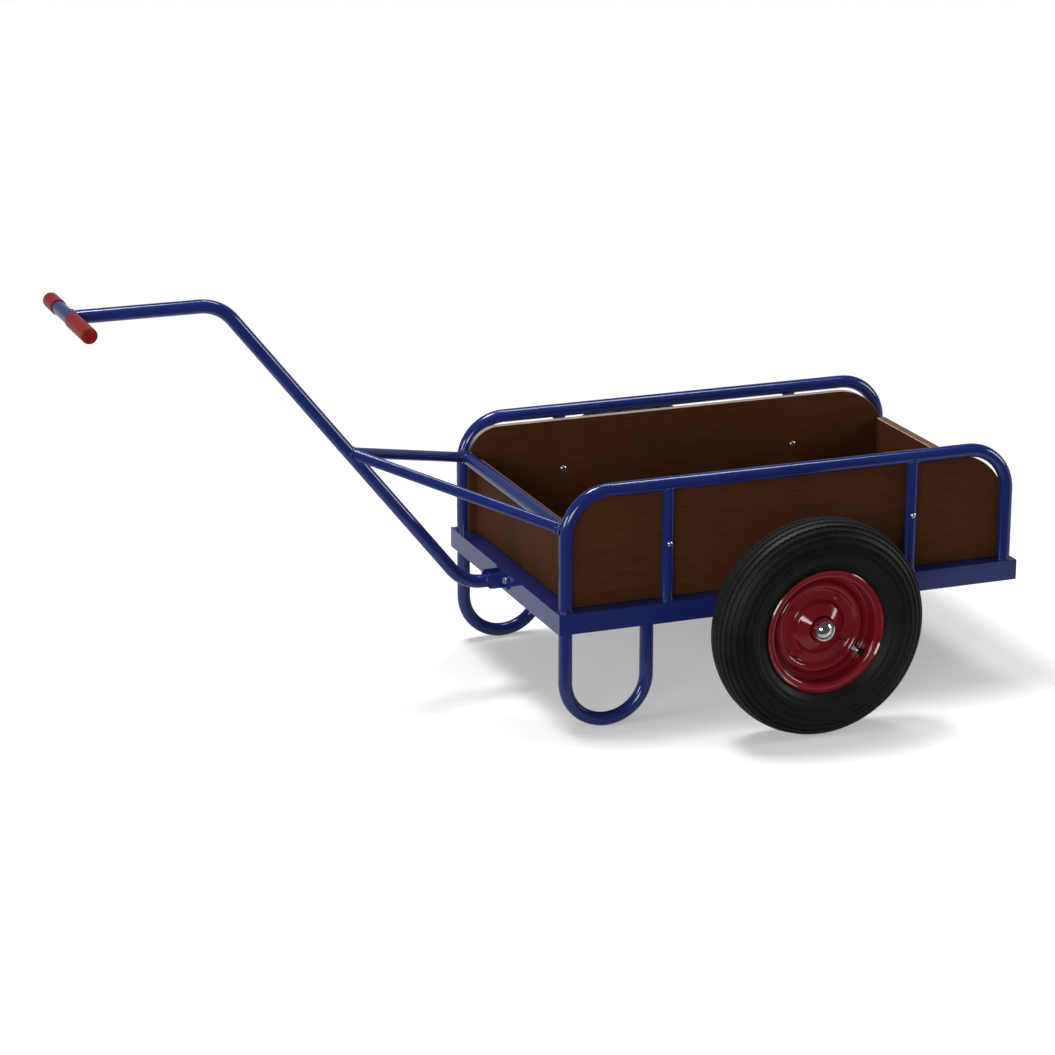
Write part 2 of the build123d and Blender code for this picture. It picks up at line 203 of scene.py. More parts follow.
def film_board(name, thin_axis, edge_colours):
    """Brown film-faced plywood, whose faces, edges and arrises are told apart by the normal.

    The sealed upper edges are worn pale, and edges that face sideways or down are painted dark as
    shade."""
    material, tree, principled, where = new_material(name)
    streaks = noise(tree, where, scale=26.0, detail=6.0, roughness=0.6, stretch=(1, 6, 14))
    mottle = noise(tree, where, scale=7.0, detail=5.0, roughness=0.6)
    film = mixed(tree, ranged(tree, streaks, 0.35, 0.7), film_dark, film_light)
    film = mixed(tree, ranged(tree, mottle, 0.4, 0.75, 0.0, 0.45), film, film_blotch)
    normal = split_up(tree, shader(tree, "ShaderNodeNewGeometry").outputs["Normal"])
    flatness = sums(tree, "ABSOLUTE", normal[thin_axis], 0.0)
    grain = noise(tree, where, scale=170.0, detail=6.0, roughness=0.7, stretch=(0.3, 1, 1))
    wood = mixed(tree, ranged(tree, grain, 0.35, 0.65), *edge_colours["wood"])
    seal = mixed(tree, ranged(tree, grain, 0.3, 0.7), *edge_colours["seal"])
    edge = mixed(tree, ranged(tree, flatness, 0.30, 0.45), seal, wood)
    # Painted shade: edges that face sideways or down turn dark, and upward edges keep the worn pale
    # edge
    edge = mixed(tree, ranged(tree, normal["Z"], 0.25, 0.75), painted_shade_edge, edge)
    dressed(tree, principled, mixed(tree, ranged(tree, flatness, 0.85, 0.95), edge, film),
            ranged(tree, streaks, 0.3, 0.7, 0.48, 0.62), streaks, depth=0.0003)
    principled.inputs["IOR"].default_value = 1.10
    principled.inputs["Specular IOR Level"].default_value = 0.50
    return material


def rubber(name, colour, bloomed):
    """Black tyre rubber with a faint grey bloom."""
    material, tree, principled, where = new_material(name)
    bloom = noise(tree, where, scale=35.0, detail=6.0, roughness=0.7)
    grain = noise(tree, where, scale=900.0, detail=3.0)
    dressed(tree, principled, mixed(tree, ranged(tree, bloom, 0.35, 0.75), colour, bloomed),
            ranged(tree, bloom, 0.3, 0.7, 0.42, 0.60), grain, depth=0.00015)
    principled.inputs["IOR"].default_value = 1.30
    principled.inputs["Specular IOR Level"].default_value = 0.32
    return material


def metal(name, colour, polish, relief):
    """Bare or plated metal with a faintly uneven polish."""
    material, tree, principled, where = new_material(name)
    smear = noise(tree, where, scale=120.0, detail=5.0, roughness=0.6)
    dulled = tuple(0.85 * c for c in colour)
    grain = noise(tree, where, scale=700.0, detail=2.0)
    dressed(tree, principled, mixed(tree, ranged(tree, smear, 0.3, 0.7), dulled, colour),
            ranged(tree, smear, 0.3, 0.7, *polish), grain, depth=relief)
    principled.inputs["Metallic"].default_value = 1.0
    return material


def plastic(name, first, second, gloss):
    """Moulded plastic with a soft sheen and a fine grain."""
    material, tree, principled, where = new_material(name)
    cloud = noise(tree, where, scale=60.0, detail=4.0, roughness=0.6)
    grain = noise(tree, where, scale=800.0, detail=2.0)
    dressed(tree, principled, mixed(tree, ranged(tree, cloud, 0.3, 0.7), first, second),
            ranged(tree, cloud, 0.3, 0.7, *gloss), grain, depth=0.00012)
    principled.inputs["IOR"].default_value = 1.20
    principled.inputs["Specular IOR Level"].default_value = 0.30
    return material


blue = enamel("blue_enamel", colour=(0.0085, 0.0170, 0.1040), shade=(0.0065, 0.0130, 0.0850),
              gloss=(0.08, 0.16), specular=0.58)
red = enamel("red_enamel", colour=(0.1480, 0.0058, 0.0100), shade=(0.1150, 0.0045, 0.0078),
             gloss=(0.05, 0.12), specular=0.68)
tyre_black = rubber("tyre_rubber", (0.0040, 0.0042, 0.0035), (0.0070, 0.0070, 0.0060))
chrome = metal("chrome", (0.80, 0.80, 0.82), polish=(0.04, 0.10), relief=0.00002)
zinc = metal("zinc_plate", (0.62, 0.63, 0.68), polish=(0.22, 0.36), relief=0.00004)
grip_red = plastic("red_plastic", (0.128, 0.0068, 0.0064), (0.160, 0.0095, 0.0086),
                   gloss=(0.24, 0.36))
seal_black = plastic("black_plastic", (0.008, 0.008, 0.008), (0.016, 0.016, 0.016),
                     gloss=(0.30, 0.45))
boards = {"X": film_board("film_board_x", "X", brown_edge),
          "Y": film_board("film_board_y", "Y", pale_edge),
          "Z": film_board("film_board_z", "Z", pale_edge)}

# Each board's thin axis, and the finish of the other nodes by the start of their names
thin_axes = {"floor_board": "Z", "front_board": "X", "rear_board": "X",
             "side_board_left": "Y", "side_board_right": "Y"}
finishes = (("hub_cap", chrome), ("hub", red), ("rim", red), ("tyre", tyre_black),
            ("grip", grip_red))


def finish_of(node):
    """The material of a CAD node."""
    if node in thin_axes:
        return boards[thin_axes[node]]
    if node == "axle":
        return zinc
    return next((finish for start, finish in finishes if node.startswith(start)), blue)


for name, node in nodes.items():
    if not node.material_slots:
        node.data.materials.append(finish_of(name))
    for slot in node.material_slots:
        slot.material = finish_of(name)


# Mesh helpers

def made_piece(name, verts, faces, material, body, slot, sharp=35.0):
    """A mesh piece riding on a body, smooth but for edges sharper than that angle."""
    mesh = bpy.data.meshes.new(name)
    mesh.from_pydata([tuple(v) for v in verts], [], faces)
    cleaner = bmesh.new()
    cleaner.from_mesh(mesh)
    bmesh.ops.remove_doubles(cleaner, verts=cleaner.verts, dist=1e-6)
    bmesh.ops.recalc_face_normals(cleaner, faces=cleaner.faces)
    cleaner.to_mesh(mesh)
    cleaner.free()
    mesh.shade_smooth()
    mesh.set_sharp_from_angle(angle=math.radians(sharp))
    mesh.materials.append(material)
    piece = bpy.data.objects.new(name, mesh)
    scene.collection.objects.link(piece)
    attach(piece, body)
    return piece


def across_to(axis, toward=None):
    """Two unit vectors across an axis, the first towards a direction if given, and its own."""
    axis = Vector(axis).normalized()
    if toward is None:
        helper = Vector(upwards) if abs(axis.z) < 0.9 else Vector(forwards)
        first = helper.cross(axis).normalized()
    else:
        toward = Vector(toward)
        first = (toward - axis * toward.dot(axis)).normalized()
    return first, axis.cross(first), axis


def circle(centre, u, v, radius, steps, start=0.0):
    """Points round a circle in the plane of two unit vectors."""
    return [centre + (u * math.cos(t) + v * math.sin(t)) * radius
            for t in (start + 2 * math.pi * k / steps for k in range(steps))]


def ringed(rings):
    """Faces between rings of equally many points, and one face over each end."""
    size = len(rings[0])
    verts = [point for ring in rings for point in ring]
    faces = []
    for r in range(len(rings) - 1):
        for k in range(size):
            a, b = r * size + k, r * size + (k + 1) % size
            faces.append((a, b, b + size, a + size))
    faces.append(tuple(range(size - 1, -1, -1)))
    faces.append(tuple(range(len(verts) - size, len(verts))))
    return verts, faces


def turned(profile, centre, axis, steps=32):
    """A profile of (radius, distance along the axis) turned about that axis."""
    u, v, w = across_to(axis)
    smallest = 1e-5
    return ringed([circle(Vector(centre) + w * along, u, v, max(radius, smallest), steps)
                   for radius, along in profile])


def joined(parts):
    """Several (verts, faces) pairs as one."""
    verts, faces = [], []
    for more_verts, more_faces in parts:
        start = len(verts)
        verts.extend(more_verts)
        faces.extend(tuple(start + i for i in face) for face in more_faces)
    return verts, faces


# Weld beads: a lumpy cord along each seam, whose ripples are a welder's steps

bead_radius = 0.0021
bead_ripple = 0.0028
rings_per_ripple = 3
bead_sides = 8
bead_least, bead_swell, bead_drift, bead_jitter = 0.86, 0.20, 0.10, 0.03  # shares of the radius
drift_rate = 260.0  # radians per metre of seam
bead_tip = 0.35  # share of the radius at an open end
saddle_lift = 0.0006
foot_lift = 0.0008
seam_steps = 48


def bead(points, closed, rng):
    """A weld bead along a seam's points."""
    path = [Vector(p) for p in points]
    if closed:
        path.append(path[0].copy())
    lengths = [0.0]
    for a, b in zip(path, path[1:]):
        lengths.append(lengths[-1] + (b - a).length)
    whole = lengths[-1]
    count = max(8, int(whole / (bead_ripple / rings_per_ripple)))
    places, k = [], 0
    for i in range(count + 1):
        s = whole * i / count
        while k < len(path) - 2 and lengths[k + 1] < s:
            k += 1
        share = (s - lengths[k]) / max(lengths[k + 1] - lengths[k], 1e-9)
        places.append((s, path[k].lerp(path[k + 1], min(max(share, 0.0), 1.0))))
    rings = []
    phase = rng.uniform(0, 6)
    for i, (s, point) in enumerate(places):
        ahead = places[min(i + 1, count)][1] - places[max(i - 1, 0)][1]
        u, v, _ = across_to(ahead)
        ripple = (s / bead_ripple) % 1.0
        size = bead_radius * (bead_least + bead_swell * ripple
                              + bead_drift * math.sin(phase + s * drift_rate)
                              + rng.uniform(-bead_jitter, bead_jitter))
        if not closed:
            from_end = min(s, whole - s) / (2 * bead_radius)
            size *= min(1.0, bead_tip + (1 - bead_tip) * from_end)
        rings.append(circle(point, u, v, size, bead_sides))
    return ringed(rings)


def seam_angles(sweep):
    """Angles through a sweep in degrees, and whether that is the whole way round."""
    half = math.radians(sweep / 2)
    whole = sweep >= 360.0
    count = seam_steps if whole else seam_steps + 1
    return [-half + 2 * half * k / seam_steps for k in range(count)], whole


def saddle(joint, along, branch_radius, header_axis, header_radius, toward=None, sweep=360.0):
    """The seam where a round branch, leaving a joint, meets a round header through that joint.

    The sweep is the part of the seam that is kept, to both sides of the direction toward."""
    u, v, w = across_to(along, toward)
    header = Vector(header_axis).normalized()

    def flat(vector):
        return vector - header * vector.dot(header)

    d = flat(w)
    angles, whole = seam_angles(sweep)
    points = []
    for t in angles:
        q = (u * math.cos(t) + v * math.sin(t)) * (branch_radius + saddle_lift)
        e = flat(q)
        b, c = e.dot(d), e.length_squared - (header_radius + saddle_lift) ** 2
        inside = max(b * b - d.length_squared * c, 0.0)
        points.append(Vector(joint) + q + w * ((-b + math.sqrt(inside)) / d.length_squared))
    return points, whole


def foot_seam(centre, axis, radius, toward=None, sweep=360.0):
    """The seam where a round tube stands on a flat face, kept as in saddle."""
    u, v, _ = across_to(axis, toward)
    angles, whole = seam_angles(sweep)
    return [Vector(centre) + (u * math.cos(t) + v * math.sin(t)) * (radius + foot_lift)
            for t in angles], whole


def straight_seam(start, stop):
    """The seam from one point to another."""
    return [start, stop], False


# The drawbar's struts run from the front posts to one joint on its steep run

strut_radius = 0.010
strut_end_y = 0.246
strut_joint_z = frame_top + 0.255
run_half_height = 0.12  # up and down from the joint, to where the run's direction is read


def drawbar_joint():
    """The struts' joint on the drawbar's steep run, and that run's direction."""
    mesh = nodes["drawbar"].data
    levels = []
    for z in (strut_joint_z - run_half_height, strut_joint_z + run_half_height):
        cut = []
        for edge in mesh.edges:
            a, b = (mesh.vertices[i].co for i in edge.vertices)
            if (a.z - z) * (b.z - z) < 0:
                cut.append(a.lerp(b, (z - a.z) / (b.z - a.z)).x)
        levels.append(Vector(((min(cut) + max(cut)) / 2, 0, z)))
    direction = (levels[1] - levels[0]).normalized()
    return levels[0] + direction * ((strut_joint_z - levels[0].z) / direction.z), direction


# Where the seams lie and how far round a post each goes, in degrees

post_sweep = 230.0
cross_bar_sweep = 200.0
cross_bar_toward = (1, 0, 0.2)
plate_seam_out = 0.0006
plate_seam_margin = 0.002
bearer_seam_height = 0.0345
bearer_seam_margin = 0.003
cheek_gap = 0.0005
cheek_seam_margin = 0.006
cheek_seam_rise = 0.55  # share of the drawbar's radius
cheek_end_half = 0.008
bracket_seam_in = 0.0005
bracket_seam_margin = 0.002
bead_seeds = {"left": 12, "right": 10, "drawbar": 5}


def side_seams(side, across):
    """The seams of one side of the frame."""
    y = across * post_y
    out = (0, across, 0)
    mid_post_x = [middle(f"mid_post_{side}_{end}").x for end in ends]
    feet = [(x, tube_radius) for x in end_post_x.values()]
    feet += [(x, mid_post_radius) for x in mid_post_x]
    seams = [foot_seam((x, y, frame_top), upwards, radius, out, post_sweep)
             for x, radius in feet]
    seams += [saddle((x, y, rail_z), (0, 0, -1), mid_post_radius, forwards, tube_radius,
                     out, post_sweep) for x in mid_post_x]
    seams.append(saddle((end_post_x["front"], y, cross_bar_z), (0, -across, 0), tube_radius,
                        upwards, tube_radius, cross_bar_toward, cross_bar_sweep))
    strut_end = Vector((end_post_x["front"], across * strut_end_y, cross_bar_z))
    strut_run = strut_joint - strut_end
    seams.append(saddle(strut_end, strut_run, strut_radius, leftwards, tube_radius))
    seams.append(saddle(strut_joint, -strut_run, strut_radius, drawbar_run, drawbar_radius))
    loop_low, loop_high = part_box(f"stand_loop_{side}")
    for x in (loop_low.x + tube_radius, loop_high.x - tube_radius):
        seams.append(foot_seam((x, y, loop_high.z), upwards, tube_radius))
    sleeve_start, _ = distances_out(f"axle_sleeve_{side}")
    seams.append(foot_seam((axle.x, across * sleeve_start, axle.z), leftwards, sleeve_radius))
    plate_y = across * (frame_high.y + plate_seam_out)
    for x in (plate_low.x, plate_high.x):
        seams.append(straight_seam((x, plate_y, frame_top - plate_seam_margin),
                                   (x, plate_y, frame_low.z + plate_seam_margin)))
    for end in ends:
        low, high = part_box(f"floor_bearer_{end}")
        z = low.z + bearer_seam_height
        seams.append(straight_seam((low.x + bearer_seam_margin, across * high.y, z),
                                   (high.x - bearer_seam_margin, across * high.y, z)))
    return seams


def drawbar_seams():
    """The seams of the handle and of the drawbar in its bracket."""
    seams = [saddle(handle, (-1, 0, 0), drawbar_radius, leftwards, handle_radius)]
    for across in sides.values():
        cheek = across * (drawbar_radius + cheek_gap)
        z = drawbar_foot_z + drawbar_radius * cheek_seam_rise
        seams.append(straight_seam((bracket_low.x + cheek_seam_margin, cheek, z),
                                   (bracket_high.x - cheek_seam_margin, cheek, z)))
        seams.append(straight_seam((bracket_high.x, cheek, drawbar_foot_z - cheek_end_half),
                                   (bracket_high.x, cheek, drawbar_foot_z + cheek_end_half)))
        x, edge = bracket_low.x + bracket_seam_in, across * bracket_high.y
        seams.append(straight_seam((x, edge, bracket_low.z + bracket_seam_margin),
                                   (x, edge, bracket_high.z - bracket_seam_margin)))
    return seams


def make_welds(place, seams):
    """The weld beads of one place, in one piece."""
    rng = random.Random(bead_seeds[place])
    verts, faces = joined([bead(points, closed, rng) for points, closed in seams])
    made_piece(f"weld_beads_{place}", verts, faces, blue, "root", "blue_enamel", 60.0)


# Fasteners

washer_height = 0.0014
head_sections = ((0.0, 1.0), (0.82, 1.0), (1.0, 0.86))  # shares of the height and of the width
crown_sections = ((0.98, 0.80), (1.03, 0.66), (1.03, 0.0))
dome_rim = 0.18  # share of the height
dome_sunk = 0.0002
dome_angles = (12, 26, 40, 54, 68, 80, 90)


def hex_head(centre, axis, flats, height, washer_radius, twist=0.0):
    """A hexagon head with a chamfered top and a low crown, on a round washer."""
    u, v, w = across_to(axis)
    base = Vector(centre)
    corner = flats / math.sqrt(3)
    rings = [circle(base + w * (washer_height + height * rise), u, v, corner * size, 6, twist)
             for rise, size in head_sections]
    crown = [(corner * size, washer_height + height * rise) for rise, size in crown_sections]
    washer = [(washer_radius, 0.0), (washer_radius, washer_height * 0.75),
              (washer_radius - washer_height * 0.3, washer_height), (0.0, washer_height)]
    return joined([ringed(rings), turned(crown, base, axis, 24), turned(washer, base, axis)])


def dome_head(centre, axis, radius, height):
    """A mushroom head: a low rim and a round top."""
    profile = [(radius, -dome_sunk), (radius, height * dome_rim)]
    for t in (math.radians(angle) for angle in dome_angles):
        rise = dome_rim + (1 - dome_rim) * math.sin(t)
        profile.append((radius * math.cos(t), height * rise))
    return turned(profile, centre, axis)


board_bolt_rise = 0.107
board_bolt_sunk = 0.0008  # into the round post
outer_bolt = {"radius": 0.0052, "height": 0.0036}
inner_bolt = {"radius": 0.0062, "height": 0.0032}
bracket_bolt = {"flats": 0.010, "height": 0.0042, "washer_radius": 0.0062}
bracket_bolt_y = 0.0235
bracket_bolt_rise = 0.001  # above the bracket's middle
bracket_wall = 0.004
bracket_bolt_twist = 0.3


def make_board_bolts(side, across):
    """Bolts through the middle posts and the side board."""
    outer_y = across * (post_y + mid_post_radius - board_bolt_sunk)
    inner_y = across * distances_out(f"side_board_{side}")[0]
    z = frame_top + board_bolt_rise
    parts = []
    for end in ends:
        x = middle(f"mid_post_{side}_{end}").x
        parts.append(dome_head((x, outer_y, z), (0, across, 0), **outer_bolt))
        parts.append(dome_head((x, inner_y, z), (0, -across, 0), **inner_bolt))
    verts, faces = joined(parts)
    made_piece(f"board_bolts_{side}", verts, faces, zinc, "root", "bare_steel")


def make_bracket_bolts():
    """Bolts of the drawbar's bracket on the front of the frame."""
    x = bracket_low.x + bracket_wall
    z = (bracket_low.z + bracket_high.z) / 2 + bracket_bolt_rise
    verts, faces = joined([
        hex_head((x, across * bracket_bolt_y, z), forwards, twist=bracket_bolt_twist * across,
                 **bracket_bolt) for across in sides.values()])
    made_piece("bracket_bolts", verts, faces, zinc, "root", "bare_steel")


# Tyres: the CAD tyre's outline, with zigzag grooves from the crown to below the shoulders and
# fine rings on the walls

tyre_half_width = 0.048
rim_edge = 0.114
crown_rise = 0.007
tread_half = 0.031
bead_half = 0.0317
wide_share = 0.42  # of the way out from the rim's edge to the crown, where the tyre is widest
arc_steps = 160
corner_easing = 260  # smoothing passes
hidden_bead = ((rim_edge - 0.006, 0.0310), (rim_edge - 0.012, 0.0255))

# Distance along the outline from the crown, depth and half width of each groove
grooves = (
    (0.0065, 0.0030, 0.0024),
    (0.0195, 0.0030, 0.0024),
    (0.0325, 0.0029, 0.0032),
    (0.0445, 0.0028, 0.0040),
    (0.0565, 0.0026, 0.0042),
    (0.0685, 0.0022, 0.0042),
    (0.0800, 0.0017, 0.0040),
)
groove_bank = 0.0012
groove_bank_share = 0.9
rib_middle = 0.0060  # from a groove's middle
rib_crown = 0.0003
wall_rings = ((0.0920, 0.0006), (0.1020, 0.0012))  # distance from the crown, height
wall_ring_shape = ((-0.0030, 0.0), (-0.0015, 0.6), (0.0, 1.0), (0.0015, 0.6), (0.0030, 0.0))
plain_rows = (0.0880, 0.0965)
zigzags = 104
zigzag_swing = 0.0010
zigzag_shape = (-1.0, 0.0, 1.0, 0.0)
wall_start = 0.040
wall_swing = 0.6


def circle_through(a, b, c):
    """Centre and radius of the circle through three points of the plane."""
    ax, ay, bx, by, cx, cy = *a, *b, *c
    a2, b2, c2 = ax * ax + ay * ay, bx * bx + by * by, cx * cx + cy * cy
    d = 2 * (ax * (by - cy) + bx * (cy - ay) + cx * (ay - by))
    ux = (a2 * (by - cy) + b2 * (cy - ay) + c2 * (ay - by)) / d
    uy = (a2 * (cx - bx) + b2 * (ax - cx) + c2 * (bx - ax)) / d
    return (ux, uy), math.hypot(ax - ux, ay - uy)


def outline_of_tyre():
    """Dense points (radius, width) of one half of the outline, from the crown to the rim's edge."""
    crown = (tyre_radius, 0.0)
    shoulder = (tyre_radius - crown_rise, tread_half)
    far_shoulder = (shoulder[0], -shoulder[1])
    widest = (rim_edge + wide_share * (tyre_radius - rim_edge), tyre_half_width)
    foot = (rim_edge, bead_half)
    points = []
    for first, (a, b, c) in ((crown, (far_shoulder, crown, shoulder)),
                             (shoulder, (shoulder, widest, foot))):
        (ux, uy), radius = circle_through(a, b, c)
        start = math.atan2(first[1] - uy, first[0] - ux)
        stop = math.atan2(c[1] - uy, c[0] - ux)
        for k in range(arc_steps + 1):
            t = start + (stop - start) * k / arc_steps
            points.append((ux + radius * math.cos(t), uy + radius * math.sin(t)))
    # ease the corner between crown and wall
    for _ in range(corner_easing):
        eased = [tuple((p[i] + 2 * q[i] + r[i]) / 4 for i in (0, 1))
                 for p, q, r in zip(points, points[1:], points[2:])]
        points = [points[0]] + eased + [points[-1]]
    return points


def tyre_rows():
    """Rows round the tyre as (distance from the crown, relief, share of the zigzag)."""
    rows = [(0.0, 0.0, 1.0)] + [(distance, 0.0, 0.0) for distance in plain_rows]
    for distance, depth, half in grooves:
        swing = 1.0 if distance < wall_start else wall_swing
        for shift, share in ((-half, 0.0), (groove_bank - half, groove_bank_share), (0.0, 1.0),
                             (half - groove_bank, groove_bank_share), (half, 0.0)):
            rows.append((distance + shift, -depth * share, swing))
        rows.append((distance + rib_middle, rib_crown, swing))
    for distance, rise in wall_rings:
        rows += [(distance + shift, rise * share, 0.0) for shift, share in wall_ring_shape]
    return sorted(rows)


def make_tyre(side, across):
    """The ribbed tyre that stands for the CAD's smooth one."""
    outline = outline_of_tyre()
    lengths = [0.0]
    for a, b in zip(outline, outline[1:]):
        lengths.append(lengths[-1] + math.dist(a, b))

    def spot(s, relief):
        """The outline's point at a distance from the crown, raised by a relief."""
        s = min(max(s, 0.0), lengths[-1] - 1e-6)
        k = next(i for i in range(len(lengths) - 1) if lengths[i + 1] >= s)
        share = (s - lengths[k]) / max(lengths[k + 1] - lengths[k], 1e-12)
        (r0, y0), (r1, y1) = outline[k], outline[k + 1]
        size = max(math.hypot(r1 - r0, y1 - y0), 1e-12)
        r, y = r0 + (r1 - r0) * share, y0 + (y1 - y0) * share
        return r + (y1 - y0) / size * relief, y - (r1 - r0) / size * relief

    rows = tyre_rows()
    sections = []
    for swing in (zigzag_swing * way for way in zigzag_shape):
        half = [spot(s + swing * share, relief) for s, relief, share in rows]
        other_half = [spot(s - swing * share, relief) for s, relief, share in rows]
        half += hidden_bead
        other_half += hidden_bead
        sections.append(half + [(r, -y) for r, y in reversed(other_half)])
    count = len(sections) * zigzags
    size = len(sections[0])
    verts, faces = [], []
    for k in range(count):
        t = 2 * math.pi * k / count
        for r, y in sections[k % len(sections)]:
            verts.append((axle.x + r * math.cos(t), across * (wheel_y + y),
                          axle.z + r * math.sin(t)))
        ahead = (k + 1) % count
        for i in range(size):
            j = (i + 1) % size
            faces.append((k * size + i, k * size + j, ahead * size + j, ahead * size + i))
    piece = made_piece(f"tyre_ribbed_{side}", verts, faces, tyre_black, f"wheel_{side}",
                       "tyre_rubber", 42.0)
    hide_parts(f"tyre_{side}")


# Wheel details: bolts through the two rim halves, a valve, and the hub's brim and dust seal

rim_bolts = 4
rim_bolt_circle = 0.0595
rim_bolt_start = 36.0  # degrees
rim_plate = 0.0024
outer_head = {"flats": 0.010, "height": 0.0032, "washer_radius": 0.0056}
inner_head = {"flats": 0.010, "height": 0.0050, "washer_radius": 0.0062}
inner_twist = 1.7
valve_angles = {"left": 214.5, "right": 97.0}
valve_circle = 0.0985
valve_out = 0.0175

# Profiles as (radius, distance along the axis)
bolt_end = [(0.003, 0.006), (0.003, 0.0105), (0.0024, 0.0112), (0.0, 0.0112)]
valve_sleeve = [(0.0072, -0.0006), (0.0068, 0.0012), (0.0052, 0.0028), (0.0047, 0.0060),
                (0.0045, 0.0105), (0.0038, 0.0118), (0.0, 0.0118)]
stem_foot = (0.0036, 0.0112)
thread_crest, thread_root = 0.0038, 0.0033
thread_start, thread_pitch, threads = 0.0120, 0.0011, 5
stem_top = 0.0180
cap_radius = 0.00465
cap_sections = ((0.0172, 0.92), (0.0178, 1.0), (0.0248, 1.0), (0.0262, 0.86), (0.0266, 0.5))
cap_steps = 48
cap_groove = 0.93  # share of the radius between the cap's ribs
brim = [(0.0150, 0.0004), (0.0176, 0.0002), (0.0187, 0.0004), (0.0190, 0.0011),
        (0.0186, 0.0019), (0.0176, 0.0024), (0.0160, 0.0026)]
dust_seal = [(0.0178, 0.0006), (0.0178, -0.0004), (0.0205, -0.0005), (0.0212, 0.0006)]


def spoke(degrees):
    """The unit vector from the axle at that angle, in a wheel's plane."""
    t = math.radians(degrees)
    return Vector((math.cos(t), 0, math.sin(t)))


def make_rim_bolts(side, across):
    """Bolts through the two rim halves, with a head and a threaded end on the inner one."""
    out = Vector((0, across, 0))
    centre = Vector((axle.x, across * wheel_y, axle.z))
    parts = []
    for k in range(rim_bolts):
        angle = rim_bolt_start + 360.0 / rim_bolts * k
        twist = math.radians(angle)
        hole = centre + spoke(angle) * rim_bolt_circle
        outer, inner = hole + out * rim_plate, hole - out * rim_plate
        parts.append(hex_head(outer, out, twist=twist, **outer_head))
        parts.append(hex_head(inner, -out, twist=twist * inner_twist, **inner_head))
        parts.append(turned(bolt_end, inner, -out, 16))
    verts, faces = joined(parts)
    made_piece(f"wheel_bolts_{side}", verts, faces, red, f"wheel_{side}", "red_enamel")


def make_valve(side, across):
    """The valve in the outer half's well: rubber sleeve, threaded stem and ribbed cap."""
    body = f"wheel_{side}"
    centre = Vector((axle.x, across * wheel_y, axle.z))
    radial = spoke(valve_angles[side])
    root = centre + radial * valve_circle + Vector((0, across, 0)) * valve_out
    inward = -radial
    made_piece(f"valve_sleeve_{side}", *turned(valve_sleeve, root, inward, 28), tyre_black,
               body, "tyre_rubber")
    stem = [stem_foot]
    for k in range(threads):
        crest = thread_start + thread_pitch * k
        stem += [(thread_crest, crest), (thread_root, crest + thread_pitch / 2)]
    stem += [(thread_crest, stem_top), (0.0, stem_top)]
    made_piece(f"valve_stem_{side}", *turned(stem, root, inward, 24), zinc, body, "bare_steel")
    u, v, w = across_to(inward)
    cap = []
    for along, size in cap_sections:
        ring = []
        for k in range(cap_steps):
            t = 2 * math.pi * k / cap_steps
            radius = cap_radius * size * (1.0 if k % 4 in (0, 1) else cap_groove)
            ring.append(root + w * along + (u * math.cos(t) + v * math.sin(t)) * radius)
        cap.append(ring)
    made_piece(f"valve_cap_{side}", *ringed(cap), zinc, body, "bare_steel")


def make_hub_ends(side, across):
    """The hub cap's rolled brim, and a dust seal round the sleeve in the hub's inner end."""
    body = f"wheel_{side}"
    inner, outer = distances_out(f"hub_{side}")
    out = (0, across, 0)
    rolled = turned(brim, (axle.x, across * outer, axle.z), out, 56)
    made_piece(f"hub_cap_brim_{side}", *rolled, chrome, body, "chrome")
    ring = turned(dust_seal, (axle.x, across * inner, axle.z), out, 40)
    made_piece(f"dust_seal_{side}", *ring, seal_black, body, "tyre_rubber")


strut_joint, drawbar_run = drawbar_joint()
for side, across in sides.items():
    make_welds(side, side_seams(side, across))
make_welds("drawbar", drawbar_seams())
for side, across in sides.items():
    make_board_bolts(side, across)
make_bracket_bolts()
for side, across in sides.items():
    make_tyre(side, across)
    make_rim_bolts(side, across)
    make_valve(side, across)
    make_hub_ends(side, across)


# Floor, background and lights. Seen in a reflection, the room is brighter on the backdrop's side
# and darker overhead and on the far side, as in a studio.

ambient_light = 0.20
ambient_colour = (0.93, 0.96, 1.0, 1)
room_gloss = 0.08
backdrop_gloss = 0.38
room_axis = (0.36, 0.93)  # X and Y, from the backdrop towards the dark side
backdrop_turn = 0.30  # where the backdrop's light ends, to both sides of the middle
backdrop_low, backdrop_high = 0.10, 0.70  # where it fades overhead
floor_half = 60.0
floor_z = -0.0002
floor_albedo = 0.60
floor_glow = 0.28
floor_near, floor_far = 1.4, 2.8  # where the floor turns plain white
sheet_near, sheet_far = 0.38, 0.58  # where reflections see the floor end, towards the dark side
sheet_dimmed = 0.40

# Name, place, target, size and power in watts
lamps = (
    ("key", (0.5, -0.7, 4.2), (-0.4, 0.05, 0.2), (1.3, 1.3), 165),
    ("overhead", (-1.5, -0.8, 4.2), (-0.4, 0.1, 0.3), (2.4, 0.8), 76),
    ("front", (4.4, 0.9, 1.5), (0.1, 0, 0.4), (1.6, 1.4), 100),
    ("near_side", (2.4, 4.4, 1.5), (-0.4, 0.2, 0.3), (2.0, 1.4), 115),
    ("rear_side", (-4.5, 1.6, 1.6), (-0.2, 0.1, 0.3), (1.4, 1.8), 75),
)


def rays(tree):
    """Sockets that are 1 for camera rays, for mirrored rays, and for both of these."""
    path = shader(tree, "ShaderNodeLightPath")
    mirrored = sums(tree, "MAXIMUM", path.outputs["Is Glossy Ray"],
                    path.outputs["Is Transmission Ray"])
    camera_ray = path.outputs["Is Camera Ray"]
    return camera_ray, mirrored, sums(tree, "MAXIMUM", camera_ray, mirrored)


def along_room(tree, where):
    """How far a place or direction lies from the backdrop towards the dark side of the room."""
    parts = split_up(tree, where)
    return sums(tree, "ADD", *(sums(tree, "MULTIPLY", parts[axis], share)
                               for axis, share in zip("XY", room_axis)))


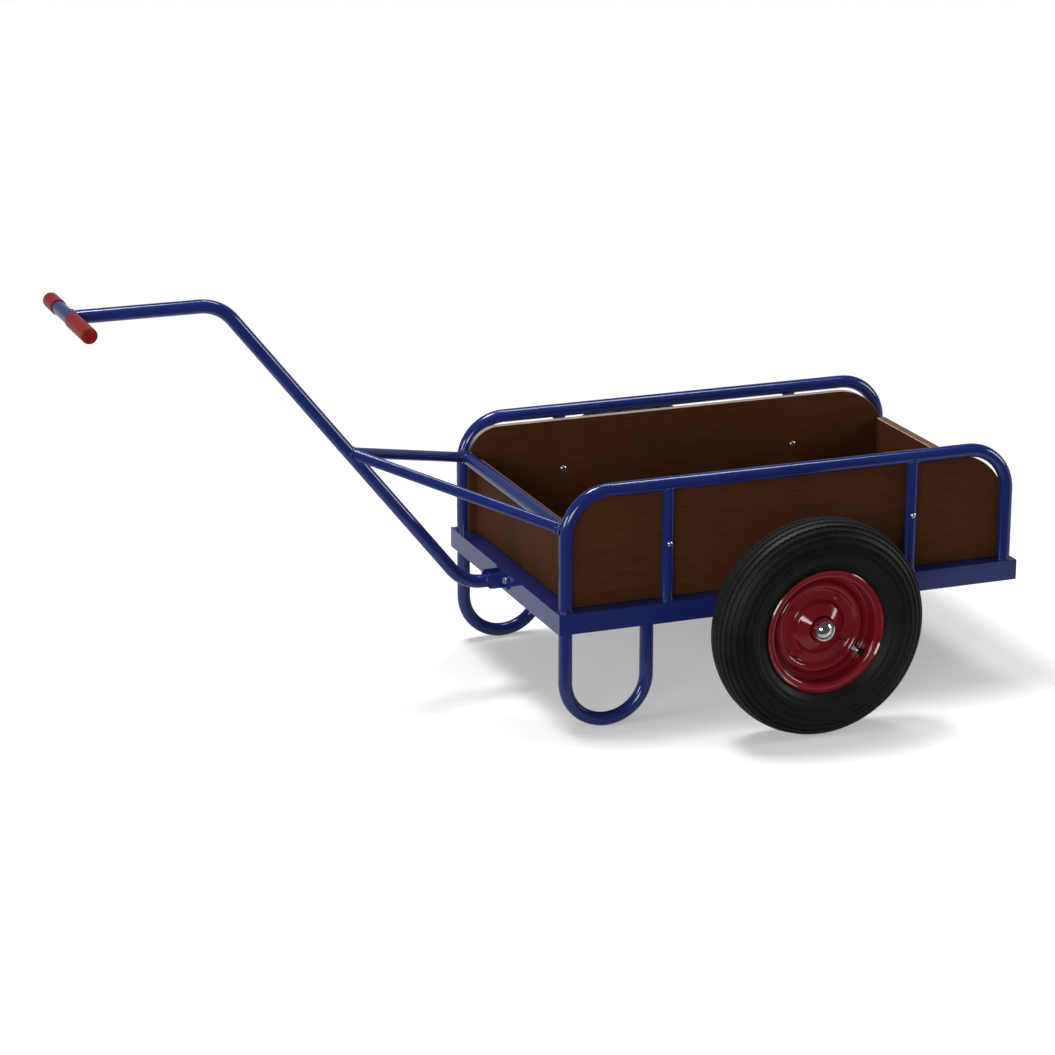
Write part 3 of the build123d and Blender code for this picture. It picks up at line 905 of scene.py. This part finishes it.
def blended(tree, share, first, second):
    """Mix two shader nodes by a share socket."""
    mix = shader(tree, "ShaderNodeMixShader")
    tree.links.new(share, mix.inputs["Fac"])
    tree.links.new(first.outputs[0], mix.inputs[1])
    tree.links.new(second.outputs[0], mix.inputs[2])
    return mix


def make_world():
    """White where it is seen, a studio room in reflections, and a plain ambient light."""
    world = bpy.data.worlds.new("studio")
    scene.world = world
    world.use_nodes = True
    tree = world.node_tree
    tree.nodes.clear()
    camera_ray, _, seen = rays(tree)
    where = shader(tree, "ShaderNodeTexCoord").outputs["Generated"]
    height = split_up(tree, where)["Z"]
    backdrop = sums(
        tree, "MULTIPLY",
        ranged(tree, along_room(tree, where), -backdrop_turn, backdrop_turn, 1.0, 0.0),
        ranged(tree, height, backdrop_low, backdrop_high, 1.0, 0.0))
    strength = sums(tree, "MAXIMUM", camera_ray,
                    ranged(tree, backdrop, 0.0, 1.0, room_gloss, backdrop_gloss))
    ambient = shader(tree, "ShaderNodeBackground",
                     {"Color": ambient_colour, "Strength": ambient_light})
    white = shader(tree, "ShaderNodeBackground", {"Color": (1, 1, 1, 1)})
    tree.links.new(strength, white.inputs["Strength"])
    out = shader(tree, "ShaderNodeOutputWorld")
    tree.links.new(blended(tree, seen, ambient, white).outputs["Shader"], out.inputs["Surface"])


def make_floor():
    """A pale floor that takes the shadow near the cart and is plain white further out."""
    mesh = bpy.data.meshes.new("floor")
    corners = [(a * floor_half, b * floor_half, floor_z)
               for a, b in ((-1, -1), (1, -1), (1, 1), (-1, 1))]
    mesh.from_pydata(corners, [], [(0, 1, 2, 3)])
    floor = bpy.data.objects.new("floor", mesh)
    scene.collection.objects.link(floor)
    material = bpy.data.materials.new("floor_white")
    material.use_nodes = True
    tree = material.node_tree
    tree.nodes.clear()
    _, mirrored, seen = rays(tree)
    where = place_in(tree)
    reach = shader(tree, "ShaderNodeVectorMath", operation="LENGTH")
    tree.links.new(where, reach.inputs[0])
    far = sums(tree, "MULTIPLY", ranged(tree, reach.outputs["Value"], floor_near, floor_far), seen)
    beyond = ranged(tree, along_room(tree, where), sheet_near, sheet_far, sheet_dimmed, 1.0)
    matt = shader(tree, "ShaderNodeBsdfDiffuse", {"Color": (*[floor_albedo] * 3, 1)})
    glow = shader(tree, "ShaderNodeEmission")
    tree.links.new(sums(tree, "MULTIPLY", seen, floor_glow), glow.inputs["Strength"])
    near_floor = shader(tree, "ShaderNodeAddShader")
    tree.links.new(matt.outputs["BSDF"], near_floor.inputs[0])
    tree.links.new(glow.outputs["Emission"], near_floor.inputs[1])
    white = shader(tree, "ShaderNodeEmission", {"Strength": 1.0})
    dark = shader(tree, "ShaderNodeEmission", {"Strength": room_gloss})
    sheet = blended(tree, far, near_floor, white)
    surface = blended(tree, sums(tree, "MULTIPLY", beyond, mirrored), sheet, dark)
    out = shader(tree, "ShaderNodeOutputMaterial")
    tree.links.new(surface.outputs["Shader"], out.inputs["Surface"])
    mesh.materials.append(material)


def softbox(name, position, target, size, power):
    """A rectangular lamp that faces a point."""
    lamp = bpy.data.lights.new(name, "AREA")
    lamp.shape = "RECTANGLE"
    lamp.size, lamp.size_y = size
    lamp.energy = power
    made = bpy.data.objects.new(name, lamp)
    scene.collection.objects.link(made)
    made.location = position
    facing = Vector(target) - Vector(position)
    made.rotation_euler = facing.to_track_quat("-Z", "Y").to_euler()


make_world()
make_floor()
for lamp in lamps:
    softbox(*lamp)


# Camera

camera_target = Vector((0.00514, 0.0, 0.30127))
camera_distance = 6.24053
camera_azimuth = math.radians(159.0225)
camera_elevation = math.radians(17.2001)
camera_lens = 115.405
back = Vector((math.sin(camera_azimuth) * math.cos(camera_elevation),
               -math.cos(camera_azimuth) * math.cos(camera_elevation),
               math.sin(camera_elevation)))
camera_data = bpy.data.cameras.new("camera")
camera_data.sensor_width = 36.0
camera_data.lens = camera_lens
camera = bpy.data.objects.new("camera", camera_data)
scene.collection.objects.link(camera)
camera.location = camera_target + back * camera_distance
camera.rotation_euler = (-back).to_track_quat("-Z", "Y").to_euler()
scene.camera = camera
scene.view_settings.view_transform = "Standard"
